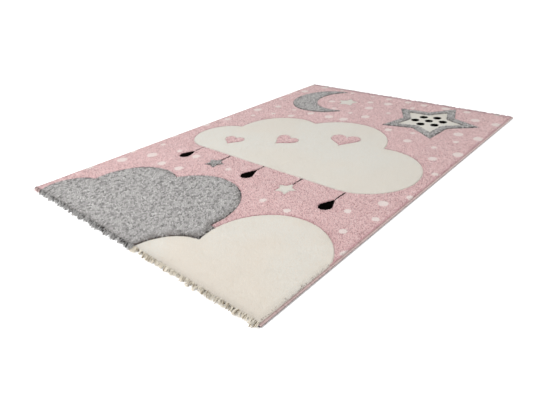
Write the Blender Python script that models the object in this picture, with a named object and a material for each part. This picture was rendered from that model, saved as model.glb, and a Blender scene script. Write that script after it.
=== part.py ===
"""A rectangular cut pile kids rug, lying flat.

The rug is one woven cloth whose pile is carved along the outlines of its
clouds, moon, stars, hearts and drops. Its long sides are overcast with yarn,
and at its short ends the last rows of pile turn over in ragged locks.
Metres, +Z up. The short end nearest the viewer is at -Y.
"""
import math

import bmesh
import bpy
import numpy as np
from mathutils import Vector
from mathutils.geometry import delaunay_2d_cdt

# Overall size of the cloth, with its bindings and the strips at its ends
WIDTH = 1.200
LENGTH = 1.700
GAP = 0.0003

# Pile heights above the floor
PILE_TOP = 0.0115
GREY_RISE = 0.0025
HEART_RISE = 0.0015
CARVED_FLOOR = 0.0080
CARVED_HALF = 0.0030
WALL_TOP = 0.0080
SHOULDER = 0.0040
LUMP = 0.00035

# Overcast long sides
BINDING_WIDTH = 0.0070
BINDING_HEIGHT = 0.0085
BINDING_SECTIONS = 28

# Turned ends: how far the locks reach past the cloth, and how many there are
NEAR_REACH = 0.0140
FAR_REACH = 0.0040
NEAR_LOCKS = 160
FAR_LOCKS = 100
STRIP_DEPTH = 0.0045
STRIP_TOP = 0.0100
ROOT_TOP = 0.0080

# Points on the rim, and their spacing on the lumpy field and under the rug
RIM_ACROSS = 34
RIM_ALONG = 50
FIELD_STEP = 0.050
UNDER_STEP = 0.240

# The box over all is centred on the origin, so the cloth sits a little to +Y
Y_NEAR = -LENGTH / 2 + (NEAR_REACH - FAR_REACH) / 2
Y_FAR = Y_NEAR + LENGTH
BODY_X = WIDTH / 2 - BINDING_WIDTH - GAP
BODY_NEAR = Y_NEAR + STRIP_DEPTH + GAP
BODY_FAR = Y_FAR - STRIP_DEPTH - GAP

# Puffs of each cloud from left to right: x, y and radius. The first and the
# last stand on the cloud's flat base.
GREY_CLOUD = [
    (-0.440, -0.790, 0.120),
    (-0.285, -0.640, 0.180),
    (-0.030, -0.590, 0.205),
    (0.170, -0.770, 0.140),
]
NEAR_CLOUD = [
    (0.225, -0.850, 0.150),
    (0.400, -0.640, 0.205),
    (0.660, -0.800, 0.170),
]
WIDE_CLOUD = [
    (-0.385, -0.075, 0.140),
    (-0.215, 0.100, 0.200),
    (0.065, 0.155, 0.235),
    (0.345, -0.010, 0.205),
]

# Hearts on the wide cloud: x, y, width and turn in degrees
HEARTS = [
    (-0.315, -0.085, 0.095, 12),
    (-0.115, 0.045, 0.115, -10),
    (0.105, 0.185, 0.135, 14),
]

# Motifs that hang under the wide cloud: kind, x, y, size and how far the pile
# rises over the ground
PENDANTS = [
    ("drop", -0.360, -0.320, 0.080, 0.0),
    ("star", -0.185, -0.305, 0.042, GREY_RISE),
    ("drop", 0.005, -0.312, 0.080, 0.0),
    ("star", 0.200, -0.310, 0.042, 0.0),
    ("drop", 0.390, -0.330, 0.080, 0.0),
]

MOON = {"x": -0.305, "y": 0.610, "outer": 0.190, "inner": 0.165, "shift": 0.108, "turn": 28}
STAR = {"x": 0.300, "y": 0.595, "outer": 0.225, "inner": 0.155, "turn": -9}
SMALL_STAR = {"x": -0.200, "y": 0.650, "outer": 0.060, "turn": 12}


def arc(cx, cy, radius, start, end, step=math.radians(9)):
    """Points on an arc, from start to end, in radians."""
    count = max(2, math.ceil(abs(end - start) / step))
    angles = [start + (end - start) * i / count for i in range(count + 1)]
    return [(cx + radius * math.cos(a), cy + radius * math.sin(a)) for a in angles]


def placed(points, cx, cy, turn_deg):
    """Turn points about the origin, then move them to (cx, cy)."""
    c = math.cos(math.radians(turn_deg))
    s = math.sin(math.radians(turn_deg))
    return [(cx + c * x - s * y, cy + s * x + c * y) for x, y in points]


def cloud(puffs):
    """Outline of round puffs on a flat base, clockwise from its lower left."""
    points = []
    angle = -math.pi / 2
    for i, (x, y, radius) in enumerate(puffs):
        end = -math.pi / 2
        if i + 1 < len(puffs):
            meet = upper_crossing(puffs[i], puffs[i + 1])
            end = math.atan2(meet[1] - y, meet[0] - x)
        while end > angle:
            end -= 2 * math.pi
        points += arc(x, y, radius, angle, end)
        if i + 1 < len(puffs):
            angle = math.atan2(meet[1] - puffs[i + 1][1], meet[0] - puffs[i + 1][0])
    return points


def upper_crossing(a, b):
    """Where two overlapping circles cross, on their upper side."""
    dx = b[0] - a[0]
    dy = b[1] - a[1]
    apart = math.hypot(dx, dy)
    along = (apart ** 2 + a[2] ** 2 - b[2] ** 2) / (2 * apart)
    up = math.sqrt(a[2] ** 2 - along ** 2)
    return (a[0] + (along * dx - up * dy) / apart, a[1] + (along * dy + up * dx) / apart)


def star(radius, waist=0.55, points=5):
    """A star about the origin, with one point up."""
    corners = []
    for i in range(2 * points):
        r = radius if i % 2 == 0 else radius * waist
        a = math.pi / 2 + i * math.pi / points
        corners.append((r * math.cos(a), r * math.sin(a)))
    return corners


def crescent(outer, inner, shift):
    """A fat moon about the origin, open towards +X."""
    along = (shift ** 2 + outer ** 2 - inner ** 2) / (2 * shift)
    up = math.sqrt(outer ** 2 - along ** 2)
    wide = math.atan2(up, along)
    tight = math.atan2(up, along - shift)
    back = arc(0, 0, outer, wide, 2 * math.pi - wide)
    front = arc(shift, 0, inner, 2 * math.pi - tight, tight)
    return back + front


def heart(width, count=26):
    """A heart about the origin, from the usual sine and cosine series."""
    points = []
    for i in range(count):
        t = 2 * math.pi * i / count
        x = 16 * math.sin(t) ** 3
        y = 13 * math.cos(t) - 5 * math.cos(2 * t) - 2 * math.cos(3 * t) - math.cos(4 * t)
        points.append((x * width / 32, y * width / 32))
    return points


def drop(height):
    """A rain drop about its round end's centre, its point up."""
    radius = 0.3 * height
    tip = height - radius
    side = math.asin(radius / tip)
    return arc(0, 0, radius, math.pi - side, 2 * math.pi + side) + [(0, tip)]


def without_doubles(points, closest=0.002):
    """Drop the points that lie on the one before them."""
    kept = []
    for p in points:
        if not kept or math.dist(p, kept[-1]) > closest:
            kept.append(p)
    if math.dist(kept[0], kept[-1]) < closest:
        kept.pop()
    return np.array(kept)


def grown(outline, by, longest=3.5):
    """The outline moved outwards by a distance, with mitred corners."""
    before = outline - np.roll(outline, 1, axis=0)
    after = np.roll(outline, -1, axis=0) - outline
    x, y = outline.T
    x_next, y_next = np.roll(outline, -1, axis=0).T
    turn = 1 if np.sum(x * y_next - x_next * y) > 0 else -1
    normals = []
    for edge in (before, after):
        unit = edge / np.linalg.norm(edge, axis=1)[:, None]
        normals.append(np.column_stack([unit[:, 1], -unit[:, 0]]) * turn)
    middle = normals[0] + normals[1]
    middle /= np.linalg.norm(middle, axis=1)[:, None]
    mitre = 1 / np.maximum(np.sum(middle * normals[0], axis=1), 1 / longest)
    return outline + middle * (by * mitre)[:, None]


def inside(points, outline):
    """Which points lie in the outline, by counting the edges they look across."""
    x, y = np.atleast_2d(points).T
    result = np.zeros(len(x), dtype=bool)
    for (x0, y0), (x1, y1) in zip(outline, np.roll(outline, -1, axis=0)):
        spans = (y0 > y) != (y1 > y)
        if np.any(spans):
            crossing = x0 + (y[spans] - y0) * (x1 - x0) / (y1 - y0)
            result[spans] ^= x[spans] < crossing
    return result


def motif_list():
    """Every motif in the order it is laid down: outline, rise and colour."""
    motifs = [
        (cloud(GREY_CLOUD), GREY_RISE, "grey"),
        (cloud(NEAR_CLOUD), 0.0, "cream"),
        (cloud(WIDE_CLOUD), 0.0, "cream"),
        (placed(crescent(MOON["outer"], MOON["inner"], MOON["shift"]),
                MOON["x"], MOON["y"], MOON["turn"]), GREY_RISE, "grey"),
        (placed(star(STAR["outer"]), STAR["x"], STAR["y"], STAR["turn"]), GREY_RISE, "grey"),
        (placed(star(STAR["inner"]), STAR["x"], STAR["y"], STAR["turn"]), 0.0, "cream"),
        (placed(star(SMALL_STAR["outer"]), SMALL_STAR["x"], SMALL_STAR["y"],
                SMALL_STAR["turn"]), 0.0, "cream"),
    ]
    for x, y, width, turn in HEARTS:
        motifs.append((placed(heart(width), x, y, turn), HEART_RISE, "pink"))
    for kind, x, y, size, rise in PENDANTS:
        if kind == "drop":
            motifs.append((placed(drop(size), x, y, 0), rise, "black"))
        else:
            motifs.append((placed(star(size), x, y, 0), rise, "grey" if rise else "cream"))
    return [(without_doubles(shape), rise, colour) for shape, rise, colour in motifs]


def seen_runs(ring, seen):
    """The runs of a closed ring that are seen, each cut back to its exact end."""
    flags = seen(ring)
    if flags.all():
        return [np.vstack([ring, ring[:1]])]
    runs = []
    run = []
    first = int(np.argmin(flags))
    count = len(ring)
    for i in range(count + 1):
        here = ring[(first + i) % count]
        if i and flags[(first + i) % count] != flags[(first + i - 1) % count]:
            there = ring[(first + i - 1) % count]
            run.append(last_seen(here, there, seen))
        if flags[(first + i) % count]:
            run.append(here)
        elif run:
            runs.append(np.array(run))
            run = []
    return runs


def last_seen(a, b, seen):
    """Halve the edge between a seen and a hidden end until the border is found."""
    shown, hidden = (a, b) if seen(a)[0] else (b, a)
    for _ in range(12):
        middle = (shown + hidden) / 2
        if seen(middle)[0]:
            shown = middle
        else:
            hidden = middle
    return shown


def distance(points, runs):
    """Distance from each point to the nearest edge of the runs."""
    nearest = np.full(len(points), np.inf)
    for run in runs:
        for a, b in zip(run[:-1], run[1:]):
            edge = b - a
            along = np.clip((points - a) @ edge / max(edge @ edge, 1e-12), 0, 1)
            nearest = np.minimum(nearest, np.linalg.norm(points - a - along[:, None] * edge, axis=1))
    return nearest


def lump(x, y):
    """The soft unevenness of the pile's top."""
    broad = np.sin(23 * x + 1.1) * np.sin(17 * y)
    slanting = 0.6 * np.sin(41 * x - 29 * y) + 0.5 * np.sin(61 * y + 13 * x)
    return LUMP * (broad + slanting)


def spaced(low, high, step):
    """Evenly spaced values from low to high, about a step apart."""
    return np.linspace(low, high, max(2, round((high - low) / step) + 1))


def rim(half_x, near, far):
    """Points round a rectangle, counter-clockwise from its lower left corner."""
    xs = np.linspace(-half_x, half_x, RIM_ACROSS + 1)
    ys = np.linspace(near, far, RIM_ALONG + 1)
    return np.vstack([
        np.column_stack([xs[:-1], np.full(RIM_ACROSS, near)]),
        np.column_stack([np.full(RIM_ALONG, half_x), ys[:-1]]),
        np.column_stack([xs[:0:-1], np.full(RIM_ACROSS, far)]),
        np.column_stack([np.full(RIM_ALONG, -half_x), ys[:0:-1]]),
    ])


def field(half_x, near, far, step):
    """A staggered grid of points within a rectangle."""
    points = []
    for j, y in enumerate(spaced(near, far, step)):
        shift = step / 4 if j % 2 else -step / 4
        points += [(x + shift, y) for x in spaced(-half_x, half_x, step)]
    return np.array(points)


def triangulate(rim_points, inner_points, runs):
    """Triangles over a rim, kept to the runs of a line that cross it."""
    points = [Vector(p) for p in rim_points] + [Vector(p) for p in inner_points]
    count = len(rim_points)
    edges = [(i, (i + 1) % count) for i in range(count)]
    for run in runs:
        start = len(points)
        points += [Vector(p) for p in run]
        edges += [(start + i, start + i + 1) for i in range(len(run) - 1)]
    verts, _, faces, origins, _, _ = delaunay_2d_cdt(points, edges, [], 0, 1e-5, True)
    flat = np.array([(v.x, v.y) for v in verts])
    place_of = {origin: i for i, group in enumerate(origins) for origin in group}
    return flat, faces, [place_of[i] for i in range(count)]


def material(name, colour, roughness=0.95):
    """A plain yarn finish."""
    made = bpy.data.materials.new(name)
    made.use_nodes = True
    shader = made.node_tree.nodes["Principled BSDF"]
    shader.inputs["Base Color"].default_value = (*colour, 1.0)
    shader.inputs["Roughness"].default_value = roughness
    shader.inputs["Metallic"].default_value = 0.0
    return made


def add_object(name, mesh, materials):
    """Put a finished mesh in the scene as one sub-part."""
    mesh.name = name
    made = bpy.data.objects.new(name, mesh)
    bpy.context.scene.collection.objects.link(made)
    for one in materials:
        mesh.materials.append(one)
    return made


def rug_body(materials):
    """The woven cloth with its carved pile, as one closed slab."""
    motifs = motif_list()
    top_x = BODY_X - SHOULDER
    top_near = BODY_NEAR + SHOULDER
    top_far = BODY_FAR - SHOULDER
    covers = [grown(shape, CARVED_HALF) for shape, _, _ in motifs]

    def seen_over(level):
        def seen(points):
            points = np.atleast_2d(points)
            x, y = points.T
            result = (abs(x) < top_x - GAP) & (y > top_near + GAP) & (y < top_far - GAP)
            for cover in covers[level + 1:]:
                if inside(cover.mean(axis=0), motifs[level][0])[0]:
                    continue
                result &= ~inside(points, cover)
            return result
        return seen

    carved = []
    beside = []
    for level, (shape, _, _) in enumerate(motifs):
        carved += seen_runs(shape, seen_over(level))
        for side in (-CARVED_HALF, CARVED_HALF):
            beside += seen_runs(grown(shape, side), seen_over(level))

    lumps = field(top_x - FIELD_STEP / 2, top_near + FIELD_STEP / 2, top_far - FIELD_STEP / 2, FIELD_STEP)
    lumps = lumps[distance(lumps, carved) > FIELD_STEP / 3]
    flat, faces, rim_places = triangulate(rim(top_x, top_near, top_far), lumps, carved + beside)

    rise = np.zeros(len(flat))
    for shape, height, _ in motifs:
        rise[inside(flat, shape)] = height
    level = PILE_TOP + rise + lump(*flat.T)
    carving = np.clip(1 - distance(flat, carved) / CARVED_HALF, 0, 1)
    top = level + (CARVED_FLOOR - level) * carving

    mesh = bmesh.new()
    top_verts = [mesh.verts.new((x, y, z)) for (x, y), z in zip(flat, top)]
    colours = {"pink": 0, "cream": 1, "grey": 2, "black": 3}
    for corners in faces:
        face = mesh.faces.new([top_verts[i] for i in corners])
        centre = face.calc_center_median()
        for shape, _, colour in motifs:
            if inside((centre.x, centre.y), shape)[0]:
                face.material_index = colours[colour]
    upper = [top_verts[i] for i in rim_places]
    side = rim(BODY_X, BODY_NEAR, BODY_FAR)
    middle = [mesh.verts.new((x, y, WALL_TOP)) for x, y in side]
    inset = UNDER_STEP / 2
    under_points = field(BODY_X - inset, BODY_NEAR + inset, BODY_FAR - inset, UNDER_STEP)
    under_flat, under_faces, under_rim = triangulate(side, under_points, [])
    under_verts = [mesh.verts.new((x, y, 0)) for x, y in under_flat]
    lower = [under_verts[i] for i in under_rim]
    for corners in under_faces:
        mesh.faces.new([under_verts[i] for i in reversed(corners)]).material_index = 4
    for low, high in ((lower, middle), (middle, upper)):
        for i in range(len(side)):
            j = (i + 1) % len(side)
            mesh.faces.new([low[i], low[j], high[j], high[i]])
    return add_object("rug_body", finished(mesh), materials)


def finished(mesh):
    """A triangulated mesh with its faces pointing out."""
    bmesh.ops.triangulate(mesh, faces=mesh.faces)
    bmesh.ops.recalc_face_normals(mesh, faces=mesh.faces)
    data = bpy.data.meshes.new("made")
    mesh.to_mesh(data)
    mesh.free()
    return data


def binding(name, side, materials):
    """Yarn whipped round a long side: a low rounded bar, a little uneven."""
    profile = [(0.22, 0.0), (1.0, 0.0), (1.0, 0.78), (0.78, 1.0), (0.42, 1.0), (0.12, 0.76), (0.0, 0.34)]
    mesh = bmesh.new()
    rings = []
    for i, y in enumerate(spaced(Y_NEAR, Y_FAR, LENGTH / BINDING_SECTIONS)):
        swell = 1 - 0.05 * (0.5 + 0.5 * math.sin(2.3 * i))
        ring = []
        for across, up in profile:
            in_from_side = BINDING_WIDTH * (1 - (1 - across) * swell)
            place = (side * (WIDTH / 2 - in_from_side), y, up * swell * BINDING_HEIGHT)
            ring.append(mesh.verts.new(place))
        rings.append(ring)
    for a, b in zip(rings[:-1], rings[1:]):
        for i in range(len(profile)):
            j = (i + 1) % len(profile)
            mesh.faces.new([a[i], a[j], b[j], b[i]])
    mesh.faces.new(rings[0])
    mesh.faces.new(rings[-1])
    return add_object(name, finished(mesh), materials)


def end_pile(name, outward, edge, reach, count, materials):
    """Ragged locks of pile whose roots are fused in a narrow strip."""
    mesh = bmesh.new()
    inner = edge - outward * STRIP_DEPTH
    columns = []
    for i in range(count + 1):
        x = -BODY_X + 2 * BODY_X * i / count
        ragged = 0.0007 * math.sin(2.1 * i) + 0.0004 * math.sin(0.77 * i + 1)
        columns.append([
            mesh.verts.new((x, inner, 0)),
            mesh.verts.new((x, inner, STRIP_TOP + lump(x, inner))),
            mesh.verts.new((x, edge, ROOT_TOP + ragged)),
            mesh.verts.new((x, edge, 0)),
        ])
    pitch = 2 * BODY_X / count
    for i, (a, b) in enumerate(zip(columns[:-1], columns[1:])):
        short = 0.30 * math.sin(1.7 * i) + 0.20 * math.sin(4.9 * i + 2)
        length = reach * min(1.0, 0.68 + short)
        lean = 0.40 * pitch * math.sin(2.9 * i + 0.5)
        tip = mesh.verts.new((-BODY_X + (i + 0.5) * pitch + lean, edge + outward * length, 0))
        mesh.faces.new([a[0], a[1], b[1], b[0]])
        mesh.faces.new([a[1], a[2], b[2], b[1]])
        mesh.faces.new([a[3], a[0], b[0], b[3]])
        for low, high in ((a[2], b[2]), (b[2], b[3]), (b[3], a[3]), (a[3], a[2])):
            mesh.faces.new([low, high, tip])
    mesh.faces.new(columns[0])
    mesh.faces.new(columns[-1])
    return add_object(name, finished(mesh), materials)


def main():
    for old in list(bpy.data.objects):
        bpy.data.objects.remove(old)
    pink = material("pink_pile", (0.64, 0.45, 0.45))
    cream = material("cream_pile", (0.77, 0.74, 0.69))
    grey = material("grey_pile", (0.42, 0.40, 0.39))
    black = material("black_pile", (0.02, 0.02, 0.02))
    back = material("woven_back", (0.52, 0.44, 0.33))
    yarn = material("overcast_yarn", (0.52, 0.31, 0.33), 0.85)
    ends = material("turned_pile", (0.66, 0.60, 0.56))
    rug_body([pink, cream, grey, black, back])
    binding("binding_left", -1, [yarn])
    binding("binding_right", 1, [yarn])
    end_pile("end_pile_near", -1, Y_NEAR, NEAR_REACH, NEAR_LOCKS, [ends])
    end_pile("end_pile_far", 1, Y_FAR, FAR_REACH, FAR_LOCKS, [ends])


main()
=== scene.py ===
import math

import bmesh
import bpy
import numpy as np
from mathutils import Matrix, Vector
from mathutils.geometry import delaunay_2d_cdt


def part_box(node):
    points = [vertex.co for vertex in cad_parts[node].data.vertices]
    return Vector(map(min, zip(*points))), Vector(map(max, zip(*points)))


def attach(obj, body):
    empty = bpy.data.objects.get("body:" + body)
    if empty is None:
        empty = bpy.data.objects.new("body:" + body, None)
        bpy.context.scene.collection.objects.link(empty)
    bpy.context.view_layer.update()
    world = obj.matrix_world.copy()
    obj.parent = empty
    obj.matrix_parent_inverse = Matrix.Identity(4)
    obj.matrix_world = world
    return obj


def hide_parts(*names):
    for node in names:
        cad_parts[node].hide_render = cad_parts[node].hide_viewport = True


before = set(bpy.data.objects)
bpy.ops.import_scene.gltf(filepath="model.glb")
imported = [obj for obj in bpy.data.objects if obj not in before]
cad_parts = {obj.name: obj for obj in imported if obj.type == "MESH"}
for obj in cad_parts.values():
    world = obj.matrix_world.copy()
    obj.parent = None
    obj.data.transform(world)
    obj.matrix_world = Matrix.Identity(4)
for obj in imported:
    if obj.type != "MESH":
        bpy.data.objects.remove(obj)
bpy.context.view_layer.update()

# Rows of knots
# The pile is soft yarn, woven into the cloth in rows and cut. All its knots are laid out here, and each
# motif below takes the ones that fall in its outline, the topmost motif first and the ground last.
cloth_low, cloth_high = (np.array(corner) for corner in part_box("rug_body"))
KNOT_PITCH = 0.00338
ROW_PITCH = 0.00302
KNOT_STRAY = 0.0010
RIM_MARGIN = 0.0016
FAR_OFF = 9.0
NEARBY = 0.02

rng = np.random.default_rng(20)
across = np.arange(cloth_low[0] + RIM_MARGIN, cloth_high[0] - RIM_MARGIN - KNOT_PITCH / 2, KNOT_PITCH)
along = np.arange(cloth_low[1] + RIM_MARGIN, cloth_high[1] - RIM_MARGIN, ROW_PITCH)
rows_x, rows_y = np.meshgrid(across, along)
rows_x[1::2] += KNOT_PITCH / 2
knots = np.column_stack([rows_x.ravel(), rows_y.ravel()])
knots += rng.uniform(-KNOT_STRAY, KNOT_STRAY, knots.shape)
free = np.ones(len(knots), dtype=bool)
to_line = np.full(knots.shape, FAR_OFF)
laid = []


def inside(points, outline):
    """Which points lie in the outline, by counting the edges they look across."""
    x, y = np.atleast_2d(points).T
    result = np.zeros(len(x), dtype=bool)
    for (x0, y0), (x1, y1) in zip(outline, np.roll(outline, -1, axis=0)):
        spans = (y0 > y) != (y1 > y)
        if spans.any():
            result[spans] ^= x[spans] < x0 + (y[spans] - y0) * (x1 - x0) / (y1 - y0)
    return result


def way_to(points, outline):
    """The way from each point to the nearest place on the closed outline."""
    way = np.full(points.shape, FAR_OFF)
    for a, b in zip(outline, np.roll(outline, -1, axis=0)):
        edge = b - a
        part = np.clip((points - a) @ edge / (edge @ edge), 0, 1)
        off = a + part[:, None] * edge - points
        nearer = (off ** 2).sum(axis=1) < (way ** 2).sum(axis=1)
        way[nearer] = off[nearer]
    return way


def distance(points, outline):
    """Distance from each point to the closed outline."""
    return np.linalg.norm(way_to(points, outline), axis=1)


def take(outline, yarn, rise=0.0, carved=True, ragged=0.0):
    """The free knots in an outline. It is kept, with each knot's way to its line if that is carved."""
    low_corner, high_corner = outline.min(axis=0) - NEARBY, outline.max(axis=0) + NEARBY
    boxed = (knots > low_corner).all(axis=1) & (knots < high_corner).all(axis=1)
    close = np.flatnonzero(free & boxed)
    stray = rng.normal(0, ragged, (len(close), 2)) if ragged else 0
    taken = close[inside(knots[close] + stray, outline)]
    if carved:
        way = way_to(knots[close], outline)
        nearer = (way ** 2).sum(axis=1) < (to_line[close] ** 2).sum(axis=1)
        to_line[close[nearer]] = way[nearer]
    laid.append((outline, yarn, rise, carved))
    free[taken] = False
    return taken


# Spotted star
# A large star of grey pile with a cream face, and black spots in the cream. The grey yarn is cut a
# little taller than the rest, and a thin line is carved round both stars.
PILE_TOP = 0.0115
CARVED_FLOOR = 0.0080
GREY_RISE = 0.0025
STAR = {"x": 0.300, "y": 0.595, "outer": 0.225, "inner": 0.155, "turn": -9}
SPOT_RADIUS = 0.0190
SPOT_PITCH = 0.063
SPOT_MARGIN = 0.004
SPOTS_TURN = 18
TUFT_SINK = 0.0012
CLUMP = 0.0058
CLUMP_STRAY = 0.0008
CLUMP_LENGTH = 1.5
DOUBLED = 0.0005
TUFT_CORNERS = 4
DRAWN_IN = 0.6
MAP_MARGIN = 0.0075


def arc(cx, cy, radius, start, end, step=math.radians(5)):
    """Points on an arc, from start to end, in radians."""
    count = max(2, math.ceil(abs(end - start) / step))
    angles = np.linspace(start, end, count + 1)
    return [(cx + radius * math.cos(a), cy + radius * math.sin(a)) for a in angles]


def moved(point, cx, cy, turn_deg):
    """A point turned about the origin, then moved by (cx, cy)."""
    c, s = math.cos(math.radians(turn_deg)), math.sin(math.radians(turn_deg))
    x, y = point
    return cx + c * x - s * y, cy + s * x + c * y


def placed(points, cx, cy, turn_deg=0):
    """A closed outline, turned about the origin and moved to (cx, cy), without its doubled points."""
    kept = []
    for point in points:
        p = moved(point, cx, cy, turn_deg)
        if not kept or math.dist(p, kept[-1]) > DOUBLED:
            kept.append(p)
    return np.array(kept if math.dist(kept[0], kept[-1]) > DOUBLED else kept[:-1])


def star(radius, waist=0.55, points=5):
    """A star about the origin, with one point up."""
    corners = []
    for i in range(2 * points):
        r = radius if i % 2 == 0 else radius * waist
        a = math.pi / 2 + i * math.pi / points
        corners.append((r * math.cos(a), r * math.sin(a)))
    return corners


def lump(x, y):
    """The soft unevenness of the pile's top."""
    waves = np.sin(23 * x + 1.1) * np.sin(17 * y) + 0.6 * np.sin(41 * x - 29 * y)
    return 0.00035 * (waves + 0.5 * np.sin(61 * y + 13 * x))


def new_tree(name, kind, inputs, outputs):
    """An empty node tree with named sockets, and its input and output nodes."""
    tree = bpy.data.node_groups.new(name, kind)
    for way, sockets in (("INPUT", inputs), ("OUTPUT", outputs)):
        for label, socket in sockets.items():
            tree.interface.new_socket(label, in_out=way, socket_type="NodeSocket" + socket)
    return tree, tree.nodes.new("NodeGroupInput"), tree.nodes.new("NodeGroupOutput")


def add(tree, kind, links=None, **settings):
    """One node with its settings, and its inputs linked to sockets or set to values."""
    node = tree.nodes.new(kind)
    for key, value in settings.items():
        setattr(node, key, value)
    for key, value in (links or {}).items():
        if isinstance(value, bpy.types.NodeSocket):
            tree.links.new(value, node.inputs[key])
        else:
            node.inputs[key].default_value = value
    return node


def tuft_tree():
    """A three sided tuft on each point, turned at random, then leant as the point says."""
    tree, given, result = new_tree(
        "standing tufts",
        "GeometryNodeTree",
        {"Knots": "Geometry", "Width": "Float", "Height": "Float", "Seed": "Int", "Yarn": "Material"},
        {"Pile": "Geometry"},
    )
    half = add(tree, "ShaderNodeMath", {0: given.outputs["Width"], 1: 0.5}, operation="MULTIPLY")
    cone = add(tree, "GeometryNodeMeshCone", {
        "Vertices": 3, "Side Segments": 1, "Fill Segments": 1, "Radius Top": 0.0,
        "Radius Bottom": half.outputs[0], "Depth": given.outputs["Height"],
    }, fill_type="NGON")
    place = add(tree, "GeometryNodeInputPosition")
    parts = add(tree, "ShaderNodeSeparateXYZ", {0: place.outputs[0]})
    # Each tuft's height share, stored as up, sets the painted shade that darkens it towards its root.
    up = add(tree, "ShaderNodeMath", {
        0: parts.outputs["Z"], 1: given.outputs["Height"],
    }, operation="DIVIDE")
    marked = add(tree, "GeometryNodeStoreNamedAttribute", {
        "Geometry": cone.outputs["Mesh"], "Name": "up", "Value": up.outputs[0],
    }, data_type="FLOAT", domain="POINT")
    smooth = add(tree, "GeometryNodeSetShadeSmooth", {
        "Geometry": marked.outputs[0], "Shade Smooth": True,
    }, domain="FACE")
    creased = add(tree, "GeometryNodeSetShadeSmooth", {
        "Geometry": smooth.outputs[0], "Selection": cone.outputs["Bottom"], "Shade Smooth": False,
    }, domain="EDGE")
    spin = add(tree, "FunctionNodeRandomValue", {
        "Min": (0, 0, 0), "Max": (0, 0, 2 * math.pi), "Seed": given.outputs["Seed"],
    }, data_type="FLOAT_VECTOR")
    spun = add(tree, "FunctionNodeEulerToRotation", {0: spin.outputs["Value"]})
    lean = add(tree, "GeometryNodeInputNamedAttribute", {"Name": "lean"}, data_type="FLOAT_VECTOR")
    leant = add(tree, "FunctionNodeEulerToRotation", {0: lean.outputs[0]})
    turned = add(tree, "FunctionNodeRotateRotation", {
        "Rotation": spun.outputs[0], "Rotate By": leant.outputs[0],
    }, rotation_space="GLOBAL")
    size = add(tree, "GeometryNodeInputNamedAttribute", {"Name": "size"}, data_type="FLOAT_VECTOR")
    placed_tufts = add(tree, "GeometryNodeInstanceOnPoints", {
        "Points": given.outputs["Knots"], "Instance": creased.outputs[0],
        "Rotation": turned.outputs[0], "Scale": size.outputs[0],
    })
    real = add(tree, "GeometryNodeRealizeInstances", {0: placed_tufts.outputs[0]})
    dyed = add(tree, "GeometryNodeSetMaterial", {0: real.outputs[0], "Material": given.outputs["Yarn"]})
    tree.links.new(dyed.outputs[0], result.inputs[0])
    return tree


def grown(name, points, attributes, tree, values):
    """Run a geometry tree on points that carry attributes, and keep the result as a plain mesh."""
    seed_mesh = bpy.data.meshes.new(name)
    seed_mesh.vertices.add(len(points))
    seed_mesh.vertices.foreach_set("co", np.asarray(points, dtype=np.float32).ravel())
    for label, data in attributes.items():
        kind, field = ("FLOAT_VECTOR", "vector") if np.ndim(data) == 2 else ("FLOAT", "value")
        layer = seed_mesh.attributes.new(label, kind, "POINT")
        layer.data.foreach_set(field, np.asarray(data, dtype=np.float32).ravel())
    carrier = bpy.data.objects.new(name + "_seed", seed_mesh)
    bpy.context.scene.collection.objects.link(carrier)
    modifier = carrier.modifiers.new("grow", "NODES")
    modifier.node_group = tree
    for item in tree.interface.items_tree:
        if item.in_out == "INPUT" and item.name in values:
            modifier[item.identifier] = values[item.name]
    graph = bpy.context.evaluated_depsgraph_get()
    mesh = bpy.data.meshes.new_from_object(carrier.evaluated_get(graph))
    bpy.data.objects.remove(carrier)
    mesh.name = name
    piece = bpy.data.objects.new(name, mesh)
    bpy.context.scene.collection.objects.link(piece)
    return piece


def map_from_above(mesh):
    """A map seen from above, each tuft drawn in a little so that none lies on its neighbour's place."""
    places = np.empty(len(mesh.vertices) * 3, dtype=np.float32)
    mesh.vertices.foreach_get("co", places)
    tufts = places.reshape(-1, TUFT_CORNERS, 3)[:, :, :2]
    middle = tufts[:, :TUFT_CORNERS - 1].mean(axis=1, keepdims=True)
    flat = (middle + DRAWN_IN * (tufts - middle)).reshape(-1, 2)
    flat = (flat - flat.min(axis=0)) / np.ptp(flat, axis=0) * (1 - 2 * MAP_MARGIN)
    loop_vertex = np.empty(len(mesh.loops), dtype=np.int32)
    mesh.loops.foreach_get("vertex_index", loop_vertex)
    layer = mesh.uv_layers.new(name="OFBake")
    layer.uv.foreach_set("vector", (flat[loop_vertex] + MAP_MARGIN).astype(np.float32).ravel())


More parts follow.
